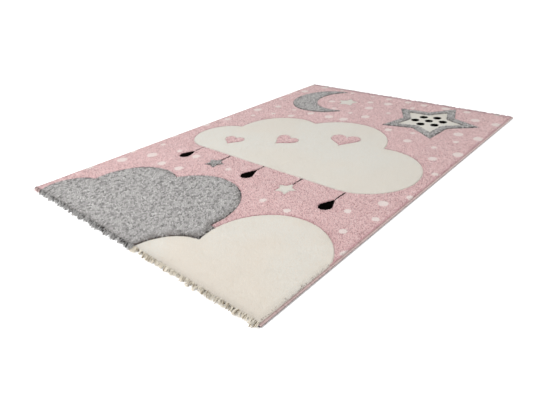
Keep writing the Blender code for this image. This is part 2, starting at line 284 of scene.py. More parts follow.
def yarn_group():
    """Cut yarn's colour: a base with darker and paler tufts, broad faint patches, painted shade at the roots
    and painted shade wherever the shaded attribute asks.
    """
    group, given, result = new_tree(
        "cut yarn",
        "ShaderNodeTree",
        {"Base": "Color", "Dark": "Color", "Pale": "Color", "Shade": "Color", "Dark Share": "Float",
         "Pale Share": "Float", "Patches": "Float", "Stain": "Float", "Root Shade": "Float"},
        {"Color": "Color", "Normal": "Vector"},
    )
    tone = add(group, "ShaderNodeAttribute", attribute_name="tone").outputs["Fac"]
    up = add(group, "ShaderNodeAttribute", attribute_name="up").outputs["Fac"]
    where = add(group, "ShaderNodeTexCoord").outputs["Object"]
    darkest = add(group, "ShaderNodeMath", {
        0: given.outputs["Dark Share"], 1: 0.45,
    }, operation="MULTIPLY")
    dark = add(group, "ShaderNodeMapRange", {
        "Value": tone, "From Min": given.outputs["Dark Share"], "From Max": darkest.outputs[0],
        "To Min": 0.0, "To Max": 1.0,
    })
    pale_from = add(group, "ShaderNodeMath", {
        0: 1.0, 1: given.outputs["Pale Share"],
    }, operation="SUBTRACT")
    pale = add(group, "ShaderNodeMapRange", {
        "Value": tone, "From Min": pale_from.outputs[0], "From Max": 1.0, "To Min": 0.0, "To Max": 1.0,
    })
    darker = add(group, "ShaderNodeMix", {
        "Factor": dark.outputs[0], 6: given.outputs["Base"], 7: given.outputs["Dark"],
    }, data_type="RGBA")
    paler = add(group, "ShaderNodeMix", {
        "Factor": pale.outputs[0], 6: darker.outputs[2], 7: given.outputs["Pale"],
    }, data_type="RGBA")
    cloudy = add(group, "ShaderNodeTexNoise", {"Vector": where, "Scale": 3.2, "Detail": 2.0})
    stained = add(group, "ShaderNodeMapRange", {
        "Value": cloudy.outputs[0], "From Min": 0.42, "From Max": 0.62, "To Min": 0.0,
        "To Max": given.outputs["Stain"],
    }, interpolation_type="SMOOTHSTEP")
    yarn = add(group, "ShaderNodeMix", {
        "Factor": stained.outputs[0], 6: paler.outputs[2], 7: given.outputs["Dark"],
    }, data_type="RGBA")
    broad = add(group, "ShaderNodeTexNoise", {"Vector": where, "Scale": 6.0, "Detail": 3.0})
    swing = add(group, "ShaderNodeMath", {0: broad.outputs[0], 1: 0.5}, operation="SUBTRACT")
    patch = add(group, "ShaderNodeMath", {
        0: swing.outputs[0], 1: given.outputs["Patches"], 2: 1.0,
    }, operation="MULTIPLY_ADD")
    # Painted shade: darker towards the root of a tuft or lock, full colour from nine tenths of its height
    # up.
    root = add(group, "ShaderNodeMapRange", {
        "Value": up, "From Min": 0.0, "From Max": 0.9,
        "To Min": given.outputs["Root Shade"], "To Max": 1.0,
    })
    # Painted shade: the shaded attribute pulls the colour towards the Shade colour, a tinted darkening.
    shaded = add(group, "ShaderNodeAttribute", attribute_name="shaded").outputs["Fac"]
    lit = add(group, "ShaderNodeMix", {
        "Factor": shaded, 6: (1.0, 1.0, 1.0, 1.0), 7: given.outputs["Shade"],
    }, data_type="RGBA")
    yarn_in_painted_shade = add(group, "ShaderNodeVectorMath", {
        0: yarn.outputs[2], 1: lit.outputs[2],
    }, operation="MULTIPLY")
    shade = add(group, "ShaderNodeMath", {0: patch.outputs[0], 1: root.outputs[0]}, operation="MULTIPLY")
    colour = add(group, "ShaderNodeVectorMath", {
        0: yarn_in_painted_shade.outputs[0], "Scale": shade.outputs[0],
    }, operation="SCALE")
    fibres = add(group, "ShaderNodeTexNoise", {"Vector": where, "Scale": 1400.0, "Detail": 2.0})
    bump = add(group, "ShaderNodeBump", {
        "Strength": 0.35, "Distance": 0.0005, "Height": fibres.outputs[0],
    })
    group.links.new(colour.outputs[0], result.inputs["Color"])
    group.links.new(bump.outputs[0], result.inputs["Normal"])
    return group


def dyed(name, base, dark, pale, shares, patches=0.10, root_shade=0.55, sheen=0.15, stain=0.0,
         shade=(0.07, 0.02, 0.0)):
    """Matt cut yarn with a soft sheen, in this colour and its darker and paler tufts, with painted shade at
    the roots and towards the shade colour.
    """
    made = bpy.data.materials.new(name)
    made.use_nodes = True
    tree = made.node_tree
    shader = tree.nodes["Principled BSDF"]
    shader.inputs["Roughness"].default_value = 0.95
    shader.inputs["Specular IOR Level"].default_value = 0.1 if sheen else 0.0
    shader.inputs["Sheen Weight"].default_value = sheen
    shader.inputs["Sheen Roughness"].default_value = 0.6
    fibre = add(tree, "ShaderNodeGroup")
    fibre.node_tree = CUT_YARN
    for label, colour in (("Base", base), ("Dark", dark), ("Pale", pale), ("Shade", shade)):
        fibre.inputs[label].default_value = (*colour, 1.0)
    fibre.inputs["Dark Share"].default_value = shares[0]
    fibre.inputs["Pale Share"].default_value = shares[1]
    fibre.inputs["Patches"].default_value = patches
    fibre.inputs["Stain"].default_value = stain
    fibre.inputs["Root Shade"].default_value = root_shade
    tree.links.new(fibre.outputs["Color"], shader.inputs["Base Color"])
    tree.links.new(fibre.outputs["Normal"], shader.inputs["Normal"])
    return made


TUFTS = tuft_tree()
CUT_YARN = yarn_group()
# edge_shade and edge: how dark painted shade gets along a yarn's carved line, and how far from it it
# reaches.
GREY = {"slot": "grey_pile", "tall": 0.0050, "broad": 1.30, "wall": 0.0018, "lean": 0.30, "clump": 0.90,
        "flop": 0.50, "edge_shade": 0.92, "edge": 0.050, "overhang": 0.6}
GREY["material"] = dyed("grey_yarn", (0.548, 0.532, 0.520), (0.008, 0.008, 0.007), (0.890, 0.875, 0.858),
                        (0.46, 0.22), 0.08, 0.50)
FIRM_GREY = dict(GREY, clump=0.45, flop=0.25, edge_shade=0.55, edge=0.011)
CREAM = {"slot": "cream_pile", "tall": 0.0030, "broad": 1.25, "wall": 0.0030, "lean": 0.14, "clump": 0.3,
         "flop": 0.10, "edge_shade": 0.12, "edge": 0.008, "overhang": 0.0}
CREAM["material"] = dyed("cream_yarn", (0.672, 0.655, 0.603), (0.675, 0.620, 0.545),
                         (0.692, 0.680, 0.638), (0.25, 0.30), 0.03, 0.87, stain=0.45)
BLACK = {"slot": "black_pile", "tall": 0.0032, "broad": 1.70, "wall": 0.0030, "lean": 0.15, "clump": 0.3,
         "flop": 0.25, "edge_shade": 0.0, "edge": 0.006, "overhang": 0.0}
BLACK["material"] = dyed("black_yarn", (0.003, 0.0025, 0.002), (0.001, 0.001, 0.001),
                         (0.007, 0.006, 0.006), (0.30, 0.20), 0.20, 0.70, 0.0)
# The nap: tone clumps lie along it, and carved lines on this side get the most painted shade and the longest
# overhanging grey tufts.
NAP_AND_SHADED_SIDE = np.array([0.6, -0.8])
NAP_ASIDE = np.array([0.8, 0.6])
RIM_ROUND = 0.007
RIM_DROP = 0.0030
SIDE_SPILL = 0.0022
END_SPILL = 0.0030
MOST_LEAN = 0.8
LOWEST_ROOT = 0.0026
OVERHANG_REACH = 0.008
# Painted shade: how dark it gets and how far in it reaches along the side, near and far rims, and in broad
# bands at both ends.
RIM_SHADE = 0.85
RIM_SHADE_REACH = np.array([0.0082, 0.0040, 0.0120])
RIM_SHADE_WAVER = 0.0015
FAR_BAND = {"shade": 0.72, "reach": 0.036}
NEAR_BAND = {"shade": 0.12, "reach": 0.050}
DEEPEST_SHADE = 0.86


def mottled(places, alike):
    """An even spread of tones from 0 to 1, more or less alike in small clumps that lie along the nap."""
    turned_to_nap = np.column_stack([places @ NAP_AND_SHADED_SIDE / CLUMP_LENGTH, places @ NAP_ASIDE])
    clump = np.floor((turned_to_nap + rng.normal(0, CLUMP_STRAY, places.shape)) / CLUMP).astype(int)
    tones = rng.random((400, 400))[clump[:, 0] % 400, clump[:, 1] % 400]
    tones = alike * tones + (1 - alike) * rng.random(len(places))
    return np.argsort(np.argsort(tones)) / len(places)


def pile(name, taken, yarn, rise=0.0):
    """The cut tufts of one yarn, low along a carved line, and flopped over it and over the rim, with painted
    shade near the line, along the rim and at both ends.
    """
    here = knots[taken].copy()
    count = len(taken)
    gap = np.linalg.norm(to_line[taken], axis=1)
    outward = to_line[taken] / np.maximum(gap, 1e-6)[:, None]
    top = PILE_TOP + rise + lump(*here.T)
    top += (CARVED_FLOOR - 0.0010 - top) * np.clip(1 - gap / yarn["wall"], 0, 1)
    side = np.sign(here[:, 0])
    to_near, to_far = here[:, 1] - cloth_low[1], cloth_high[1] - here[:, 1]
    to_rim = np.column_stack([cloth_high[0] - abs(here[:, 0]), to_near, to_far])
    by_side, by_near, by_far = np.clip(1 - to_rim / RIM_ROUND, 0, 1).T
    top -= RIM_DROP * np.maximum(np.maximum(by_side, by_near), by_far) ** 2
    edge = np.clip(1.3 - 1.3 * gap / yarn["edge"], 0, 1)
    hidden = mottled(here, 0.8)
    flop = yarn["flop"] * edge * rng.uniform(0.5, 1.2, count)
    lean = np.zeros((count, 3))
    lean[:, :2] = rng.normal(0, yarn["lean"], (count, 2))
    lean[:, 0] -= flop * outward[:, 1] - (by_near - by_far) * rng.uniform(-0.2, 0.9, count)
    lean[:, 1] += flop * outward[:, 0] + by_side * side * rng.uniform(-0.3, 0.9, count)
    lean *= np.minimum(1, MOST_LEAN / np.maximum(np.linalg.norm(lean, axis=1), 1e-6))[:, None]
    # Painted shade near a carved line, in ragged clumps, strongest on the nap side.
    toward_shaded_side = 0.15 + 0.85 * np.clip(outward @ NAP_AND_SHADED_SIDE, 0, 1)
    shaded = yarn["edge_shade"] * np.clip(2.2 * (edge * toward_shaded_side - hidden) + 0.15 * edge, 0, 1)
    # Painted shade along the rim, reaching in a wavering distance.
    nearest = to_rim.argmin(axis=1)
    place = np.where(nearest == 0, here[:, 1], here[:, 0])
    waver = np.sin(310 * place) + np.sin(523 * place + 1) + np.sin(871 * place + 2)
    reach = RIM_SHADE_REACH[nearest] + RIM_SHADE_WAVER * waver
    rimmed = np.clip(1.5 - 1.5 * to_rim.min(axis=1) / np.maximum(reach, 0.001), 0, 1)
    shaded = np.maximum(shaded, RIM_SHADE * np.clip(2.2 * (rimmed - hidden) + 0.2 * rimmed, 0, 1))
    # Painted shade in broad bands at the far and near ends.
    painted_end_shade = (FAR_BAND["shade"] * np.clip(1 - to_far / FAR_BAND["reach"], 0, 1)
                 + NEAR_BAND["shade"] * np.clip(1 - to_near / NEAR_BAND["reach"], 0, 1))
    shaded = np.minimum(np.maximum(shaded, painted_end_shade * rng.uniform(0.6, 1.2, count)), DEEPEST_SHADE)
    here[:, 0] += SIDE_SPILL * by_side * side * rng.random(count)
    here[:, 1] += END_SPILL * (by_far - by_near) * rng.random(count)
    wide = rng.uniform(0.90, 1.15, count)
    tall = yarn["tall"]
    over_line = np.clip(1 - gap / OVERHANG_REACH, 0, 1) * np.clip(outward @ NAP_AND_SHADED_SIDE, 0, 1)
    longer = 1 + yarn["overhang"] * over_line
    height = longer * tall * rng.uniform(0.80, 1.15, count) + TUFT_SINK
    size = np.column_stack([wide, wide, height / (tall + TUFT_SINK)])
    points = np.column_stack([here, np.maximum(top - tall - TUFT_SINK, LOWEST_ROOT)])
    attributes = {"size": size, "lean": lean, "tone": mottled(here, yarn["clump"]), "shaded": shaded}
    piece = grown(name, points, attributes, TUFTS, {
        "Width": KNOT_PITCH * yarn["broad"], "Height": tall + TUFT_SINK,
        "Seed": 3, "Yarn": yarn["material"],
    })
    map_from_above(piece.data)
    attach(piece, "root")


star_face = placed(star(STAR["inner"]), STAR["x"], STAR["y"], STAR["turn"])
spots = []
for row in range(-4, 5):
    for column in range(-4, 5):
        in_rows = ((column + 0.5 * (row % 2)) * SPOT_PITCH, row * SPOT_PITCH * 0.8)
        centre = np.array([moved(in_rows, STAR["x"], STAR["y"], SPOTS_TURN)])
        if inside(centre, star_face)[0] and distance(centre, star_face)[0] > SPOT_RADIUS + SPOT_MARGIN:
            ring = placed(arc(0, 0, SPOT_RADIUS, 0, 2 * math.pi, 0.4), *centre[0])
            spots.append(take(ring, BLACK, carved=False))
star_rim = placed(star(STAR["outer"]), STAR["x"], STAR["y"], STAR["turn"])
pile("star_spots", np.concatenate(spots), BLACK)
pile("star_face", take(star_face, CREAM), CREAM)
pile("star_rim", take(star_rim, FIRM_GREY, GREY_RISE), FIRM_GREY, GREY_RISE)

# Moon and small star
# A fat crescent of the same tall grey pile, and one small cream star in its arms. Both are woven in with
# the ground, and a line is carved round each.
MOON = {"x": -0.305, "y": 0.610, "outer": 0.190, "inner": 0.165, "shift": 0.108, "turn": 28}
SMALL_STAR = {"x": -0.200, "y": 0.650, "outer": 0.060, "turn": 12}


def crescent(outer, inner, shift):
    """A fat moon about the origin, open towards +X."""
    along_axis = (shift ** 2 + outer ** 2 - inner ** 2) / (2 * shift)
    up = math.sqrt(outer ** 2 - along_axis ** 2)
    wide = math.atan2(up, along_axis)
    tight = math.atan2(up, along_axis - shift)
    return arc(0, 0, outer, wide, 2 * math.pi - wide) + arc(shift, 0, inner, 2 * math.pi - tight, tight)


small_star = placed(star(SMALL_STAR["outer"]), SMALL_STAR["x"], SMALL_STAR["y"], SMALL_STAR["turn"])
moon = placed(crescent(MOON["outer"], MOON["inner"], MOON["shift"]), MOON["x"], MOON["y"], MOON["turn"])
pile("small_star", take(small_star, CREAM), CREAM)
pile("moon", take(moon, FIRM_GREY, GREY_RISE), FIRM_GREY, GREY_RISE)

# Hearts
# Three plain hearts of pink pile in a rising row on the wide cloud, cut a little proud of the cream
# with a carved line round each.
HEART_RISE = 0.0015
HEARTS = [(-0.315, -0.085, 0.095, 12), (-0.115, 0.045, 0.115, -10), (0.105, 0.185, 0.135, 14)]


def heart(width, count=60):
    """A heart about the origin, from the usual sine and cosine series."""
    t = 2 * np.pi * np.arange(count) / count
    x = 16 * np.sin(t) ** 3
    y = 13 * np.cos(t) - 5 * np.cos(2 * t) - 2 * np.cos(3 * t) - np.cos(4 * t)
    return np.column_stack([x, y]) * width / 32


PINK = {"slot": "pink_pile", "tall": 0.0034, "broad": 1.25, "wall": 0.0030, "lean": 0.22, "clump": 0.15,
        "flop": 0.20, "edge_shade": 0.40, "edge": 0.009, "overhang": 0.0}
PINK["material"] = dyed("pink_yarn", (0.770, 0.497, 0.493), (0.260, 0.098, 0.103), (0.895, 0.735, 0.722),
                        (0.30, 0.36), 0.14, 0.62, sheen=0.40, shade=(0.32, 0.0, 0.10))
heart_knots = [take(placed(heart(width), x, y, turn), PINK, HEART_RISE) for x, y, width, turn in HEARTS]
pile("hearts", np.concatenate(heart_knots), PINK, HEART_RISE)

# Wide cloud
# The largest motif: smooth cream pile in round puffs on a flat base, woven in with the pink ground and
# cut low along the line that is carved round it.
WIDE_CLOUD = [(-0.385, -0.075, 0.140), (-0.215, 0.100, 0.200), (0.065, 0.155, 0.235),
              (0.345, -0.010, 0.205)]


def cloud(puffs):
    """Outline of round puffs on a flat base, clockwise from its lower left."""
    points = []
    angle = -math.pi / 2
    for i, (x, y, radius) in enumerate(puffs):
        end = -math.pi / 2
        if i + 1 < len(puffs):
            x_next, y_next, radius_next = puffs[i + 1]
            dx, dy = x_next - x, y_next - y
            apart = math.hypot(dx, dy)
            part = (apart ** 2 + radius ** 2 - radius_next ** 2) / (2 * apart)
            up = math.sqrt(radius ** 2 - part ** 2)
            meet_x, meet_y = x + (part * dx - up * dy) / apart, y + (part * dy + up * dx) / apart
            end = math.atan2(meet_y - y, meet_x - x)
        while end > angle:
            end -= 2 * math.pi
        points += arc(x, y, radius, angle, end)
        if i + 1 < len(puffs):
            angle = math.atan2(meet_y - y_next, meet_x - x_next)
    return placed(points, 0, 0)


pile("wide_cloud", take(cloud(WIDE_CLOUD), CREAM), CREAM)

# Hanging drops and stars
# Rain drops of black pile and small stars of grey and cream pile, each with a carved line round it. They
# hang from the cloud on thin black lines, which are woven in the ground and not carved.
PENDANTS = [
    ("drop", -0.360, -0.320, 0.080, 0.0),
    ("star", -0.185, -0.305, 0.042, GREY_RISE),
    ("drop", 0.005, -0.312, 0.080, 0.0),
    ("star", 0.200, -0.310, 0.042, 0.0),
    ("drop", 0.390, -0.330, 0.080, 0.0),
]
CLOUD_BASE = WIDE_CLOUD[0][1] - WIDE_CLOUD[0][2]
STRING_HALF = 0.0026


def drop(height):
    """A rain drop about its round end's centre, its point up."""
    radius = 0.3 * height
    side = math.asin(radius / (height - radius))
    return arc(0, 0, radius, math.pi - side, 2 * math.pi + side) + [(0, height - radius)]


black_knots = []
for kind, x, y, size, rise in PENDANTS:
    if kind == "drop":
        black_knots.append(take(placed(drop(size), x, y), BLACK))
    else:
        yarn_of_star = FIRM_GREY if rise else CREAM
        hanging_star = take(placed(star(size), x, y), yarn_of_star, rise)
        pile("hanging_" + yarn_of_star["slot"].replace("pile", "star"), hanging_star, yarn_of_star, rise)
    low_end = 0.7 * size if kind == "drop" else size
    string = [(-STRING_HALF, low_end), (STRING_HALF, low_end), (STRING_HALF, CLOUD_BASE - y),
              (-STRING_HALF, CLOUD_BASE - y)]
    black_knots.append(take(placed(string, x, y), BLACK, carved=False, ragged=0.0006))
pile("drops_and_strings", np.concatenate(black_knots), BLACK)

# Clouds at the near end
# A cream cloud in a warmer yarn, in front of one of tall grey pile, with a line carved round both. Both
# run off the rug's near end, and the cream one off its side.
NEAR_CLOUD = [(0.225, -0.850, 0.150), (0.400, -0.640, 0.205), (0.660, -0.800, 0.170)]
GREY_CLOUD = [(-0.440, -0.790, 0.120), (-0.285, -0.640, 0.180), (-0.030, -0.590, 0.205),
              (0.170, -0.770, 0.140)]
WARM_CREAM = dict(CREAM)
WARM_CREAM["material"] = dyed("warm_cream_yarn", (0.680, 0.652, 0.594), (0.690, 0.618, 0.532),
                              (0.700, 0.678, 0.628), (0.25, 0.30), 0.03, 0.87, stain=0.50)
pile("near_cloud", take(cloud(NEAR_CLOUD), WARM_CREAM), WARM_CREAM)
pile("grey_cloud", take(cloud(GREY_CLOUD), GREY, GREY_RISE), GREY, GREY_RISE)

# Pink ground with polka dots
# The ground is pink yarn with a few darker tufts. Small off white dots in three sizes are strewn over it
# in loose rows, woven in without a carved line, so their edges are soft.
DOT_PITCH = 0.112
DOT_RADII = (0.0125, 0.0175, 0.0215)
DOT_STRAY = 0.018
DOT_MARGIN = 0.008
DOT = dict(PINK, slot="cream_pile", clump=0.2)
DOT["material"] = dyed("dot_yarn", (0.760, 0.665, 0.635), (0.725, 0.610, 0.590), (0.780, 0.710, 0.680),
                       (0.30, 0.30), 0.04, 0.82)
dots = []
for row in range(17):
    for column in range(12):
        x = -0.60 + (column + 0.5 * (row % 2)) * DOT_PITCH + rng.uniform(-DOT_STRAY, DOT_STRAY)
        y = -0.83 + row * DOT_PITCH * 0.92 + rng.uniform(-DOT_STRAY, DOT_STRAY)
        radius = DOT_RADII[int(rng.integers(3))]
        spot = np.array([[x, y]])
        if all(distance(spot, outline)[0] > radius + DOT_MARGIN and not inside(spot, outline)[0]
               for outline, _, _, carved in laid if carved):
            ring = placed(arc(0, 0, radius, 0, 2 * math.pi, 0.4), x, y)
            dots.append(take(ring, DOT, carved=False, ragged=0.0010))
pile("polka_dots", np.concatenate(dots), DOT)
thirds = np.array_split(np.flatnonzero(free), 3)
for name, part in zip(("ground_near", "ground_middle", "ground_far"), thirds):
    pile(name, part, PINK)

# Woven cloth
# One flat cloth of jute and cotton, with the feet of the pile packed on it in the yarns' colours, darkened
# with painted shade.
# It has the whole rug's outline and relief, and stands for the solid slab.
CARVED_HALF = 0.0030
BED_DROP = 0.0028
WALL_TOP = 0.0072
SHOULDER = 0.0035
FIELD_STEP = 0.030
FIELD_MARGIN = 0.02
RIM_COUNTS = (40, 58)
WEAVE = 0.0042


def woven(name, dark, pale):
    """A coarse plain weave of uneven threads, dark in its gaps."""
    made = bpy.data.materials.new(name)
    made.use_nodes = True
    tree = made.node_tree
    shader = tree.nodes["Principled BSDF"]
    shader.inputs["Roughness"].default_value = 0.92
    shader.inputs["Specular IOR Level"].default_value = 0.2
    where = add(tree, "ShaderNodeTexCoord").outputs["Object"]
    scaled = add(tree, "ShaderNodeVectorMath", {
        0: where, "Scale": 2 * math.pi / WEAVE,
    }, operation="SCALE")
    axes = add(tree, "ShaderNodeSeparateXYZ", {0: scaled.outputs[0]})
    warp, weft = (add(tree, "ShaderNodeMath", {0: axes.outputs[i]}, operation="SINE") for i in (0, 1))
    over = add(tree, "ShaderNodeMath", {0: warp.outputs[0], 1: weft.outputs[0]}, operation="MULTIPLY")
    height = add(tree, "ShaderNodeMath", {0: over.outputs[0], 1: 0.5, 2: 0.5}, operation="MULTIPLY_ADD")
    slub = add(tree, "ShaderNodeTexNoise", {"Vector": where, "Scale": 160.0, "Detail": 3.0})
    mixed = add(tree, "ShaderNodeMath", {0: height.outputs[0], 1: slub.outputs[0]}, operation="MULTIPLY")
    ramp = add(tree, "ShaderNodeValToRGB", {0: mixed.outputs[0]})
    ramp.color_ramp.elements[0].color = (*dark, 1)
    ramp.color_ramp.elements[1].color = (*pale, 1)
    ramp.color_ramp.elements[1].position = 0.6
    bump = add(tree, "ShaderNodeBump", {
        "Strength": 0.8, "Distance": 0.0008, "Height": height.outputs[0],
    })
    tree.links.new(ramp.outputs[0], shader.inputs["Base Color"])
    tree.links.new(bump.outputs[0], shader.inputs["Normal"])
    return made


def rim(half_x, near, far):
    """Points round a rectangle, counter-clockwise from its lower left corner."""
    xs = np.linspace(-half_x, half_x, RIM_COUNTS[0] + 1)
    ys = np.linspace(near, far, RIM_COUNTS[1] + 1)
    sides = [(xs[:-1], near), (half_x, ys[:-1]), (xs[:0:-1], far), (-half_x, ys[:0:-1])]
    return np.vstack([np.column_stack(np.broadcast_arrays(x, y)) for x, y in sides])


def triangles(rim_points, inner, runs):
    """A flat net of triangles over a rim, with its edges kept to the runs."""
    points = [Vector(p) for p in rim_points] + [Vector(p) for p in inner]
    edges = [(i, (i + 1) % len(rim_points)) for i in range(len(rim_points))]
    for run in runs:
        start = len(points)
        points += [Vector(p) for p in run]
        edges += [(start + i, start + i + 1) for i in range(len(run) - 1)]
    verts, _, faces, origins, _, _ = delaunay_2d_cdt(points, edges, [], 0, 1e-5, True)
    place_of = {origin: i for i, group in enumerate(origins) for origin in group}
    return np.array([tuple(v) for v in verts]), faces, [place_of[i] for i in range(len(rim_points))]


def line_runs(outline, sides, covers, half_x, near, far):
    """The stretches of an outline, moved out by each of sides, that no motif above it and no rim hides."""
    ahead = np.roll(outline, -1, axis=0) - np.roll(outline, 1, axis=0)
    across_line = np.column_stack([ahead[:, 1], -ahead[:, 0]]) / np.linalg.norm(ahead, axis=1)[:, None]
    runs = []
    for side in sides:
        ring = outline + across_line * side
        shown = (abs(ring[:, 0]) < half_x) & (ring[:, 1] > near) & (ring[:, 1] < far)
        for cover in covers:
            shown &= ~inside(ring, cover)
        start = int(np.argmin(shown)) if not shown.all() else 0
        ring, shown = np.roll(ring, -start, axis=0), np.roll(shown, -start)
        breaks = np.flatnonzero(np.diff(shown.astype(int)) != 0) + 1
        stretches = zip(np.split(ring, breaks), np.split(shown, breaks))
        parts = [part for part, on in stretches if on[0] and len(part) > 1]
        runs += parts if not shown.all() else [np.vstack([ring, ring[:1]])]
    return runs


half_x, near, far = cloth_high[0], cloth_low[1], cloth_high[1]
top_rim = rim(half_x - SHOULDER, near + SHOULDER, far - SHOULDER)
run_rim = (half_x - 1.3 * SHOULDER, near + 1.3 * SHOULDER, far - 1.3 * SHOULDER)
runs = []
for i, (outline, _, _, carved) in enumerate(laid):
    sides = (-CARVED_HALF, 0, CARVED_HALF) if carved else (0,)
    covers = [other for other, _, _, cut in laid[:i] if cut and not inside(other, outline).all()]
    runs += line_runs(outline, sides, covers, *run_rim)
field_x, field_y = np.meshgrid(np.arange(-half_x + FIELD_MARGIN, half_x - FIELD_MARGIN, FIELD_STEP),
                               np.arange(near + FIELD_MARGIN, far - FIELD_MARGIN, FIELD_STEP))
field = np.column_stack([field_x.ravel(), field_y.ravel()])
for run in runs:
    field = field[np.linalg.norm(field[:, None] - run[None], axis=2).min(axis=1) > FIELD_STEP / 3]
flat, faces, rim_places = triangles(top_rim, field, runs)

level = np.full(len(flat), PILE_TOP)
gap = np.full(len(flat), np.inf)
open_to = np.ones(len(flat), dtype=bool)
for outline, _, rise, carved in laid:
    if carved:
        within = inside(flat, outline) & open_to
        gap[open_to] = np.minimum(gap[open_to], distance(flat[open_to], outline))
        level[within] += rise
        open_to &= ~within
level += lump(*flat.T) - BED_DROP
carving = np.clip(1 - gap / CARVED_HALF, 0, 1)
bed = level + (CARVED_FLOOR - 0.0035 - level) * carving


def yarn_at(places):
    """The yarn at each place: that of the topmost motif there, or the pink of the ground."""
    found = np.full(len(places), FEET.index(PINK))
    for outline, yarn, _, _ in reversed(laid):
        found[inside(places, outline)] = FEET.index(yarn)
    return found


FEET = [PINK, CREAM, WARM_CREAM, GREY, FIRM_GREY, BLACK, DOT]
WEAVE_SLOT = len(FEET)
net = bmesh.new()
top_verts = [net.verts.new((x, y, z)) for (x, y), z in zip(flat, bed)]
for corners in faces:
    net.faces.new([top_verts[i] for i in corners])
side_rim = rim(half_x, near, far)
middle_ring = [net.verts.new((x, y, WALL_TOP)) for x, y in side_rim]
upper_ring = [top_verts[i] for i in rim_places]
for i in range(len(side_rim)):
    j = (i + 1) % len(side_rim)
    net.faces.new([middle_ring[i], middle_ring[j], upper_ring[j], upper_ring[i]])
middles = np.array([tuple(face.calc_center_median())[:2] for face in net.faces])
for face, number in zip(net.faces, yarn_at(middles)):
    face.material_index = int(number)
under_line = [(0.0, y) for y in np.linspace(near + 0.2, far - 0.2, 7)]
under_flat, under_faces, under_rim = triangles(side_rim, under_line, [])
under_verts = [net.verts.new((x, y, 0)) for x, y in under_flat]
for corners in under_faces:
    net.faces.new([under_verts[i] for i in reversed(corners)]).material_index = WEAVE_SLOT
lower_ring = [under_verts[i] for i in under_rim]
for i in range(len(side_rim)):
    j = (i + 1) % len(side_rim)
    edge_face = net.faces.new([lower_ring[i], lower_ring[j], middle_ring[j], middle_ring[i]])
    edge_face.material_index = WEAVE_SLOT + 1
bmesh.ops.recalc_face_normals(net, faces=net.faces)
cloth_mesh = bpy.data.meshes.new("rug_cloth")
net.to_mesh(cloth_mesh)
net.free()
# The feet have no up attribute, so they take the yarns' full painted root shade.
for yarn_below in FEET:
    cloth_mesh.materials.append(yarn_below["material"])
cloth_mesh.materials.append(woven("woven_back", (0.20, 0.15, 0.10), (0.66, 0.57, 0.44)))
# The cloth's edge below the pile: brown jute, darkened further with painted shade.
cloth_mesh.materials.append(woven("jute_edge_and_shade", (0.05, 0.035, 0.02), (0.22, 0.17, 0.11)))
# Painted shade on the cloth: along carved lines, on its top rim and on the wall between the pile and the
# edge.
shading = np.full(len(cloth_mesh.vertices), 0.30, dtype=np.float32)
edge_shades = np.array([yarn["edge_shade"] for yarn in FEET])[yarn_at(flat)]
shading[:len(flat)] = 0.75 * edge_shades * np.clip(1 - gap / 0.012, 0, 1)
shading[rim_places] = 0.25
for label, data in (("tone", np.full(len(shading), 0.5, dtype=np.float32)), ("shaded", shading)):
    cloth_mesh.attributes.new(label, "FLOAT", "POINT").data.foreach_set("value", data)
cloth = bpy.data.objects.new("rug_cloth", cloth_mesh)
bpy.context.scene.collection.objects.link(cloth)
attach(cloth, "root")
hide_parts("rug_body")

# Overcast sides
# Thick twisted yarn in a muted pink, whipped round each long side of the cloth, turn beside turn, so that
# the cut edge can't fray.
TURN_PITCH = 0.0030
TURN_YARN = 0.0016
# The low root shade paints the binding's lower flank dark, and its crown gets painted shade under the pile's
# edge, leaving a lighter band between.
BINDING_YARN = dyed("overcast_yarn", (0.585, 0.455, 0.440), (0.480, 0.360, 0.345), (0.670, 0.530, 0.515),
                    (0.25, 0.25), 0.10, 0.08, 0.1, shade=(0.20, 0.12, 0.10))


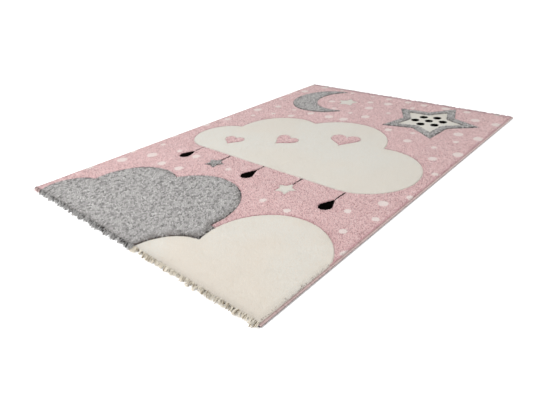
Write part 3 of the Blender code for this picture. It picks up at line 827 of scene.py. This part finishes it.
def overcast_tree():
    """One bent turn of yarn on each point, its section four sided, with painted shade on its crown and its
    lower flank.
    """
    tree, given, result = new_tree(
        "overcast turns",
        "GeometryNodeTree",
        {"Places": "Geometry", "Yarn Radius": "Float", "Width": "Float", "Height": "Float", "Slant": "Float",
         "Yarn": "Material"},
        {"Turns": "Geometry"},
    )
    bend = add(tree, "GeometryNodeCurveArc", {
        "Resolution": 9, "Radius": 1.0,
        "Start Angle": math.radians(80), "Sweep Angle": math.radians(205),
    }, mode="RADIUS")
    upright = add(tree, "GeometryNodeTransform", {0: bend.outputs[0], "Rotation": (math.pi / 2, 0, 0)})
    scale = add(tree, "ShaderNodeCombineXYZ", {
        0: given.outputs["Width"], 1: 1.0, 2: given.outputs["Height"],
    })
    fitted = add(tree, "GeometryNodeTransform", {0: upright.outputs[0], "Scale": scale.outputs[0]})
    place = add(tree, "ShaderNodeSeparateXYZ", {0: add(tree, "GeometryNodeInputPosition").outputs[0]})
    share = add(tree, "ShaderNodeMath", {
        0: place.outputs["Z"], 1: given.outputs["Height"],
    }, operation="DIVIDE")
    up = add(tree, "ShaderNodeMath", {0: share.outputs[0], 1: 0.5, 2: 0.5}, operation="MULTIPLY_ADD")
    marked = add(tree, "GeometryNodeStoreNamedAttribute", {
        "Geometry": fitted.outputs[0], "Name": "up", "Value": up.outputs[0],
    }, data_type="FLOAT", domain="POINT")
    # Painted shade: the top of the crown, under the pile's edge, is marked shaded.
    painted_crown_shade = add(tree, "ShaderNodeMapRange", {
        "Value": up.outputs[0], "From Min": 0.86, "From Max": 0.99, "To Min": 0.0, "To Max": 0.55,
    })
    crown_shaded = add(tree, "GeometryNodeStoreNamedAttribute", {
        "Geometry": marked.outputs[0], "Name": "shaded", "Value": painted_crown_shade.outputs[0],
    }, data_type="FLOAT", domain="POINT")
    section = add(tree, "GeometryNodeCurvePrimitiveCircle", {
        "Resolution": 4, "Radius": given.outputs["Yarn Radius"],
    }, mode="RADIUS")
    tube = add(tree, "GeometryNodeCurveToMesh", {
        0: crown_shaded.outputs[0], 1: section.outputs[0], "Fill Caps": True,
    })
    smooth = add(tree, "GeometryNodeSetShadeSmooth", {0: tube.outputs[0], "Shade Smooth": True})
    turn = add(tree, "ShaderNodeCombineXYZ", {2: given.outputs["Slant"]})
    turns = add(tree, "GeometryNodeInstanceOnPoints", {
        "Points": given.outputs["Places"], "Instance": smooth.outputs[0], "Rotation": turn.outputs[0],
    })
    size = add(tree, "GeometryNodeInputNamedAttribute", {"Name": "size"}, data_type="FLOAT_VECTOR")
    tree.links.new(size.outputs[0], turns.inputs["Scale"])
    real = add(tree, "GeometryNodeRealizeInstances", {0: turns.outputs[0]})
    dyed = add(tree, "GeometryNodeSetMaterial", {0: real.outputs[0], "Material": given.outputs["Yarn"]})
    tree.links.new(dyed.outputs[0], result.inputs[0])
    return tree


OVERCAST = overcast_tree()
for node, side in (("binding_left", -1), ("binding_right", 1)):
    low, high = (np.array(corner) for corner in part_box(node))
    count = int((high[1] - low[1]) / TURN_PITCH)
    places_y = low[1] + TURN_PITCH * (0.5 + np.arange(count))
    wide = high[0] - low[0]
    inner_x = side * (cloth_high[0] + 0.0003)
    points = np.column_stack([np.full(count, inner_x), places_y, np.full(count, high[2] / 2)])
    size = np.ones((count, 3)) * rng.uniform(0.96, 1.04, (count, 1))
    size[:, 0] *= -side
    piece = grown(node + "_yarn", points, {
        "size": size, "tone": rng.random(count),
    }, OVERCAST, {
        "Yarn Radius": TURN_YARN, "Width": wide - TURN_YARN, "Height": high[2] / 2 - TURN_YARN * 1.12,
        "Slant": side * 0.20, "Yarn": BINDING_YARN,
    })
    if side == 1:
        piece.data.flip_normals()
    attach(piece, "root")
    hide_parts(node)

# Turned ends
# At each short end the last rows of pile turn over the edge and hang down to the floor in ragged locks,
# in the colour of the pile above them, with painted shade near their roots. The brown edge of the cloth,
# darker still with painted shade, shows between them.
LOCK_SECTIONS = 5
LOCK_THICKNESS = 0.13
BUNDLE_PITCH = 0.0090
LOCK_ROWS = (
    {"height": 0.0115, "reach": 0.75, "locks": 5},
    {"height": 0.0085, "reach": 0.95, "locks": 6},
    {"height": 0.0045, "reach": 1.0, "locks": 4},
)


def lock_tree():
    """A bent, tapering lock of yarn on each point: it leaves at the top and comes down to the floor."""
    tree, given, result = new_tree(
        "turned locks",
        "GeometryNodeTree",
        {"Roots": "Geometry", "Sections": "Int", "Thickness": "Float", "Yarn": "Material"},
        {"Locks": "Geometry"},
    )
    bend = add(tree, "GeometryNodeCurveQuadraticBezier", {
        "Resolution": given.outputs["Sections"],
        "Start": (0, 0, 1), "Middle": (0, -0.62, 1.10), "End": (0, -1, 0.10),
    })
    part = add(tree, "GeometryNodeSplineParameter")
    taper = add(tree, "ShaderNodeMapRange", {
        "Value": part.outputs["Factor"], "From Min": 0.25, "From Max": 1.0, "To Min": 1.0, "To Max": 0.55,
    })
    tapered = add(tree, "GeometryNodeSetCurveRadius", {0: bend.outputs[0], "Radius": taper.outputs[0]})
    # The lock's length share, stored as up, sets its painted shade: darkest where it leaves the pile.
    up = add(tree, "GeometryNodeStoreNamedAttribute", {
        "Geometry": tapered.outputs[0], "Name": "up", "Value": part.outputs["Factor"],
    }, data_type="FLOAT", domain="POINT")
    section = add(tree, "GeometryNodeCurvePrimitiveCircle", {
        "Resolution": 3, "Radius": given.outputs["Thickness"],
    }, mode="RADIUS")
    radius = add(tree, "GeometryNodeInputRadius")
    tube = add(tree, "GeometryNodeCurveToMesh", {
        0: up.outputs[0], 1: section.outputs[0], "Scale": radius.outputs[0], "Fill Caps": True,
    })
    smooth = add(tree, "GeometryNodeSetShadeSmooth", {0: tube.outputs[0], "Shade Smooth": True})
    size = add(tree, "GeometryNodeInputNamedAttribute", {"Name": "size"}, data_type="FLOAT_VECTOR")
    turn = add(tree, "GeometryNodeInputNamedAttribute", {"Name": "turn"}, data_type="FLOAT_VECTOR")
    locks = add(tree, "GeometryNodeInstanceOnPoints", {
        "Points": given.outputs["Roots"], "Instance": smooth.outputs[0],
        "Rotation": turn.outputs[0], "Scale": size.outputs[0],
    })
    real = add(tree, "GeometryNodeRealizeInstances", {0: locks.outputs[0]})
    dyed = add(tree, "GeometryNodeSetMaterial", {0: real.outputs[0], "Material": given.outputs["Yarn"]})
    tree.links.new(dyed.outputs[0], result.inputs[0])
    return tree


LOCKS = lock_tree()
# Each lock gets painted shade near its root, where it leaves the pile, and is lighter towards its tip.
TURNED_YARNS = {
    "pink_pile": dyed("turned_pink", (0.700, 0.500, 0.490), (0.240, 0.130, 0.120),
                      (0.820, 0.680, 0.660), (0.25, 0.30), 0.10, 0.45, shade=(0.32, 0.0, 0.10)),
    "cream_pile": dyed("turned_cream", (0.860, 0.790, 0.670), (0.320, 0.250, 0.160),
                       (0.920, 0.880, 0.790), (0.25, 0.35), 0.10, 0.72),
    "grey_pile": dyed("turned_grey", (0.520, 0.507, 0.498), (0.050, 0.048, 0.046),
                      (0.800, 0.785, 0.770), (0.38, 0.30), 0.10, 0.50),
}
for node, outward in (("end_pile_near", -1), ("end_pile_far", 1)):
    low, high = (np.array(corner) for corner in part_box(node))
    cloth_edge = cloth_low[1] if outward < 0 else cloth_high[1]
    full = abs((low[1] if outward < 0 else high[1]) - cloth_edge)
    rows = []
    for lock_row in LOCK_ROWS:
        tall, furthest = lock_row["height"], full * lock_row["reach"]
        middles_x = np.arange(low[0] + 0.003, high[0] - 0.003, BUNDLE_PITCH)
        middles_x = middles_x + rng.uniform(-0.5, 0.5, len(middles_x)) * BUNDLE_PITCH
        middles_x = middles_x[rng.random(len(middles_x)) > 0.12]
        count = len(middles_x)
        bundle_reach = rng.uniform(0.35, 1.15, count)
        bundle_lift = rng.uniform(0.15, 0.60, count) * tall * (rng.random(count) < 0.4)
        bundle_turn = rng.normal(0, 0.42, count)
        for _ in range(lock_row["locks"]):
            rows.append(np.column_stack([
                np.clip(middles_x + rng.normal(0, 0.0019, count), low[0] + 0.002, high[0] - 0.002),
                furthest * np.clip(bundle_reach * rng.uniform(0.70, 1.10, count), 0.25, 1.15),
                bundle_lift,
                tall * rng.uniform(0.85, 1.08, count) - bundle_lift,
                np.clip(bundle_turn + rng.normal(0, 0.22, count), -0.95, 0.95),
            ]))
    x, reach, lift, height, swing = np.vstack(rows).T
    above = np.column_stack([x, np.full(len(x), cloth_edge - outward * 0.004)])
    yarns_above = yarn_at(above)
    yarns_above[yarns_above == FEET.index(DOT)] = FEET.index(PINK)
    for number in np.unique(yarns_above):
        chosen = yarns_above == number
        yarn = FEET[int(number)]
        count = int(chosen.sum())
        points = np.column_stack([x[chosen], np.full(count, cloth_edge - outward * 0.001), lift[chosen]])
        turn = np.column_stack([np.zeros((count, 2)), swing[chosen] + (math.pi if outward > 0 else 0)])
        size = np.column_stack([rng.uniform(0.005, 0.010, count), reach[chosen], height[chosen]])
        piece = grown(f"{node}_{yarn['slot']}", points, {
            "size": size, "turn": turn, "tone": rng.random(count),
        }, LOCKS, {
            "Sections": LOCK_SECTIONS, "Thickness": LOCK_THICKNESS, "Yarn": TURNED_YARNS[yarn["slot"]],
        })
        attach(piece, "root")
        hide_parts(node)

# Studio
# A plain white floor under a bright even sky and one large soft lamp above its left, seen from the
# photograph's place.
EYE = Vector((1.172, -1.335, 0.733))
AZIMUTH, ELEVATION, ROLL = (math.radians(a) for a in (41.68, 29.48, -3.24))
FOCAL_PIXELS = 449.5
FRAME_WIDTH = 550
CENTRE_SHIFT_PIXELS = 24.24

floor_mesh = bpy.data.meshes.new("floor")
floor_mesh.from_pydata([(-60, -60, 0), (60, -60, 0), (60, 60, 0), (-60, 60, 0)], [], [(0, 1, 2, 3)])
floor = bpy.data.objects.new("floor", floor_mesh)
floor_material = bpy.data.materials.new("floor_white")
floor_material.use_nodes = True
floor_shader = floor_material.node_tree.nodes["Principled BSDF"]
floor_shader.inputs["Base Color"].default_value = (0.97, 0.97, 0.97, 1)
floor_shader.inputs["Roughness"].default_value = 0.9
floor_mesh.materials.append(floor_material)
bpy.context.scene.collection.objects.link(floor)

world = bpy.data.worlds.new("sky")
world.use_nodes = True
world.node_tree.nodes["Background"].inputs["Color"].default_value = (1, 1, 1, 1)
world.node_tree.nodes["Background"].inputs["Strength"].default_value = 1.15
bpy.context.scene.world = world
lamp_data = bpy.data.lights.new("soft_lamp", "AREA")
lamp_data.shape = "DISK"
lamp_data.size = 1.2
lamp_data.energy = 40
lamp = bpy.data.objects.new("soft_lamp", lamp_data)
lamp.location = (-0.6, -1.6, 2.6)
bpy.context.scene.collection.objects.link(lamp)
bpy.context.scene.view_settings.view_transform = "Standard"

towards_eye = (math.sin(AZIMUTH) * math.cos(ELEVATION), -math.cos(AZIMUTH) * math.cos(ELEVATION))
back = Vector((*towards_eye, math.sin(ELEVATION)))
level_x = Vector((0, 0, 1)).cross(back).normalized()
level_y = back.cross(level_x)
right = math.cos(ROLL) * level_x + math.sin(ROLL) * level_y
upward = -math.sin(ROLL) * level_x + math.cos(ROLL) * level_y
camera_data = bpy.data.cameras.new("camera")
camera_data.sensor_width = 36.0
camera_data.lens = FOCAL_PIXELS * camera_data.sensor_width / FRAME_WIDTH
camera_data.shift_x = -CENTRE_SHIFT_PIXELS / FRAME_WIDTH
camera_data.clip_start = 0.05
camera = bpy.data.objects.new("camera", camera_data)
turned = Matrix((right, upward, back)).transposed().to_4x4()
turned.translation = EYE
camera.matrix_world = turned
bpy.context.scene.collection.objects.link(camera)
bpy.context.scene.camera = camera
